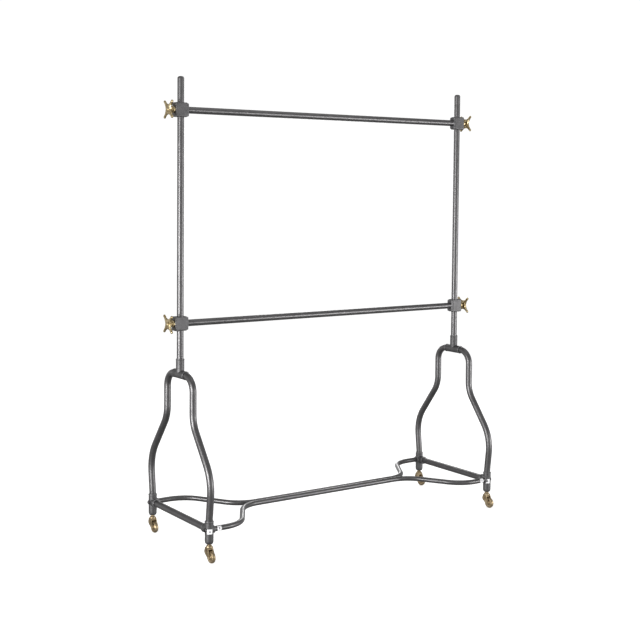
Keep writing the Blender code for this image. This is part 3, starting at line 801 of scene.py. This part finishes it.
def fork_mesh():
    """Crown with two slanted arms that bulge to the rear, a web between them and a roof over the wheel."""
    low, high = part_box("left_front_caster_fork")
    crown_low, arm_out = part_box("left_front_caster_stem")[0].z + RIVET_HEIGHT, (high.x - low.x) / 2
    foot = (-TRAIL, AXLE.z)
    crown = [(0, crown_low), (0.0112, crown_low), (0.0127, crown_low + 0.0016)]
    crown += [(0.0128, crown_low + 0.0066), (0.0112, high.z - 0.0012), (0.0092, high.z), (0, high.z)]
    solids = [turned(crown)]
    for sign in (-1, 1):
        inner, outer = sign * ARM_INNER, sign * arm_out
        solids.append(arm_plate(inner, outer, HORN_TOP, HORN_TOP_R, foot, HORN_FOOT_R))
        solids.append(arm_plate(inner, outer, HORN_BULGE, HORN_BULGE_R, foot, HORN_FOOT_R))
    corner = (WEB_HALF, WEB_REAR, crown_low + 0.002)
    solids.append(rounded_box((-WEB_HALF, WEB_FRONT, WEB_LOW), corner, 0.0015, 3))
    solids.append(rounded_box((-WEB_HALF, ROOF_FRONT, ROOF_LOW), corner, 0.0015, 3))
    mesh = cast(solids, BRASS_VOXEL, 3)
    return cut_out(
        mesh,
        rod((0, 0, crown_low - 0.001), (0, 0, CUT_REACH), POST_BORE_R),
        rod((-CUT_REACH, *foot), (CUT_REACH, *foot), AXLE_BORE_R),
    )


def axle_mesh():
    """Pin with a domed rivet head at each end, about its own middle along X."""
    low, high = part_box("left_front_caster_axle")
    fork_low, fork_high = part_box("left_front_caster_fork")
    end, seat = (high.x - low.x) / 2, (fork_high.x - fork_low.x) / 2 + FIT
    head_r, pin_r, half = 0.0050, 0.0030, [(0, end)]
    for k in range(1, 9):
        angle = math.pi / 2 * (1 - k / 8)
        half.append((head_r * math.cos(angle), seat + (end - seat) * math.sin(angle)))
    half.append((pin_r, seat))
    profile = [(r, -h) for r, h in half] + [(r, h) for r, h in reversed(half)]
    return mesh_of(turned(profile, towards((1, 0, 0))))


def wheel_mesh():
    """Solid wheel about its own axle: crowned tread, recessed web and a raised hub with a bore."""
    radius = box_middle("left_front_caster_wheel").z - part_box("left_front_caster_wheel")[0].z
    half = 0.0085
    side = [(0.0034, half), (0.0088, half), (0.0096, half - 0.0008), (0.0108, half - 0.0026)]
    side += [(0.0158, half - 0.0026), (0.0172, half - 0.0006), (0.0184, half - 0.0002)]
    side += [(0.0200, half - 0.0008), (0.0216, half - 0.0024)]
    side += [(radius - 0.0004, half - 0.0046), (radius, half - 0.0066)]
    profile = [(r, -h) for r, h in side] + [(r, h) for r, h in reversed(side)]
    return mesh_of(turned(eased(profile, 0.0006), towards((1, 0, 0)), WHEEL_ROUND), sharp=50)


def build_casters():
    stem, fork, axle, wheel = stem_mesh(), fork_mesh(), axle_mesh(), wheel_mesh()
    for side, x_sign in SIDES:
        for end, y_sign in ENDS:
            corner = f"{side}_{end}"
            swivel = Matrix.Translation((x_sign * UPRIGHT_X, y_sign * FOOT_Y, 0))
            hub = swivel @ Matrix.Translation((0, -TRAIL, AXLE.z))
            caster, horn = corner + "_caster", corner + "_fork"
            piece(caster + "_stud", stem, swivel, AGED, "frame", caster + "_stem")
            piece(caster + "_horn", fork, swivel, AGED, horn, caster + "_fork")
            piece(caster + "_pin", axle, hub, AGED, horn, caster + "_axle")
            piece(caster + "_roller", wheel, hub, AGED, corner + "_wheel", caster + "_wheel")


# Stickers, wrapped on round pieces


def sticker_mesh(radius, spread, half_height, thickness=0.00012, lift=0.00025):
    """A thin closed patch wrapped about local Z, facing local +X. Spread is half its angle."""
    columns, rows = 16, 6
    bm = bmesh.new()
    layers = []
    for r in (radius + lift, radius + lift + thickness):
        grid = []
        for j in range(rows + 1):
            z = half_height * (2 * j / rows - 1)
            angles = [spread * (2 * i / columns - 1) for i in range(columns + 1)]
            grid.append([bm.verts.new((r * math.cos(a), r * math.sin(a), z)) for a in angles])
        layers.append(grid)
    inner, outer = layers
    for j in range(rows):
        for i in range(columns):
            bm.faces.new((outer[j][i], outer[j][i + 1], outer[j + 1][i + 1], outer[j + 1][i]))
            bm.faces.new((inner[j][i], inner[j + 1][i], inner[j + 1][i + 1], inner[j][i + 1]))
    for i in range(columns):
        for j in (0, rows):
            bm.faces.new((inner[j][i], inner[j][i + 1], outer[j][i + 1], outer[j][i]))
    for j in range(rows):
        for i in (0, columns):
            bm.faces.new((inner[j][i], inner[j + 1][i], outer[j + 1][i], outer[j][i]))
    return mesh_of(bm)


def build_stickers():
    """One on each front foot and one on the front stretcher beside it, each with a small grey print."""
    print_lift, foot_drop, along_stretcher, pipe_facing = 0.00042, 0.004, 0.040, -100
    foot_label = sticker_mesh(FITTING_R, math.radians(36), 0.0092)
    foot_print = sticker_mesh(FITTING_R, math.radians(13), 0.0040, lift=print_lift)
    pipe_label = sticker_mesh(STRETCHER_R, math.radians(52), 0.0088)
    pipe_print = sticker_mesh(STRETCHER_R, math.radians(22), 0.0030, lift=print_lift)
    for side, x_sign, facing in (("left", -1, -112), ("right", 1, -125)):
        x, y = x_sign * UPRIGHT_X, -FOOT_Y
        place = Matrix.Translation((x, y, RAIL_Z - foot_drop)) @ Matrix.Rotation(math.radians(facing), 4, "Z")
        piece(side + "_foot_sticker", foot_label, place, PAPER, "frame")
        piece(side + "_foot_sticker_print", foot_print, place, INK, "frame")
        place = Matrix.Translation((x - x_sign * along_stretcher, y, RAIL_Z)) @ towards((1, 0, 0))
        place = place @ Matrix.Rotation(math.radians(pipe_facing), 4, "Z")
        piece(side + "_stretcher_sticker", pipe_label, place, PAPER, "frame")
        piece(side + "_stretcher_sticker_print", pipe_print, place, INK, "frame")


# Floor, lights and camera


def build_floor():
    half_width = 40
    bm = bmesh.new()
    bmesh.ops.create_grid(bm, x_segments=1, y_segments=1, size=half_width)
    floor = bpy.data.objects.new("floor", mesh_of(bm, "floor"))
    floor.data.materials.append(pale_floor())
    floor.location.z = -0.0005
    bpy.context.scene.collection.objects.link(floor)
    floor.visible_glossy = False


def area_light(name, location, target, size, watts):
    light = bpy.data.lights.new(name, "AREA")
    light.shape = "RECTANGLE"
    light.size, light.size_y = size
    light.energy = watts
    obj = bpy.data.objects.new(name, light)
    obj.location = location
    obj.rotation_euler = (Vector(target) - Vector(location)).to_track_quat("-Z", "Y").to_euler()
    bpy.context.scene.collection.objects.link(obj)


def build_lights():
    """A white studio, brightest along the horizon, with soft boxes at the left, the right and above."""
    world = bpy.data.worlds.new("studio")
    bpy.context.scene.world = world
    world.use_nodes = True
    tree = world.node_tree

    def node(kind):
        return tree.nodes.new("ShaderNode" + kind)

    room, seen = tree.nodes["Background"], node("Background")
    seen.inputs["Strength"].default_value = 1.05
    seen.inputs["Color"].default_value = (1, 1, 1, 1)
    path, mix, direction, parts, height, ramp = (
        node(kind) for kind in ("LightPath", "MixShader", "TexCoord", "SeparateXYZ", "MapRange", "ValToRGB")
    )
    height.inputs["From Min"].default_value = -1
    elements = ramp.color_ramp.elements
    stops = ((0.0, 0.30), (0.38, 0.46), (0.47, 0.88), (0.55, 0.84), (0.68, 0.50), (1.0, 0.42))
    while len(elements) < len(stops):
        elements.new(0.5)
    for element, (place, grey) in zip(elements, stops):
        element.position, element.color = place, (grey, grey, grey, 1)
    for source, target in (
        (direction.outputs["Generated"], parts.inputs["Vector"]),
        (parts.outputs["Z"], height.inputs["Value"]),
        (height.outputs["Result"], ramp.inputs["Fac"]),
        (ramp.outputs["Color"], room.inputs["Color"]),
        (path.outputs["Is Camera Ray"], mix.inputs["Fac"]),
        (room.outputs["Background"], mix.inputs[1]),
        (seen.outputs["Background"], mix.inputs[2]),
        (mix.outputs["Shader"], tree.nodes["World Output"].inputs["Surface"]),
    ):
        tree.links.new(source, target)
    area_light("key_left", (-3.6, -0.9, 0.80), (-0.3, 0, 0.85), (1.1, 1.5), 92)
    area_light("fill_right", (3.2, -3.9, 0.50), (0.2, 0, 0.8), (2.4, 1.1), 84)
    area_light("top_soft", (0.2, -0.6, 3.6), (0, 0, 0.6), (3.0, 1.6), 8)
    area_light("rim_back", (2.2, 3.0, 1.6), (0, 0, 0.9), (0.8, 2.2), 26)


CAMERA_PLACE = (-2.905, -4.0, 1.423)
CAMERA_YAW, CAMERA_PITCH, CAMERA_ROLL = 33.65, 3.0, 0.40  # degrees: to the right of +Y, down, clockwise
CAMERA_LENS, CAMERA_SHIFT = 65.1, (0.060, -0.110)


def build_camera():
    data = bpy.data.cameras.new("camera")
    data.lens = CAMERA_LENS
    data.sensor_width = 36
    data.shift_x, data.shift_y = CAMERA_SHIFT
    camera = bpy.data.objects.new("camera", data)
    camera.location = CAMERA_PLACE
    yaw = Matrix.Rotation(math.radians(-CAMERA_YAW), 4, "Z")
    pitch = Matrix.Rotation(math.radians(90 - CAMERA_PITCH), 4, "X")
    roll = Matrix.Rotation(math.radians(CAMERA_ROLL), 4, "Z")
    camera.rotation_euler = (yaw @ pitch @ roll).to_euler()
    bpy.context.scene.collection.objects.link(camera)
    bpy.context.scene.camera = camera


build_end_frames()
build_bars()
build_casters()
build_stickers()
build_floor()
build_lights()
build_camera()
bpy.context.scene.view_settings.view_transform = "Standard"
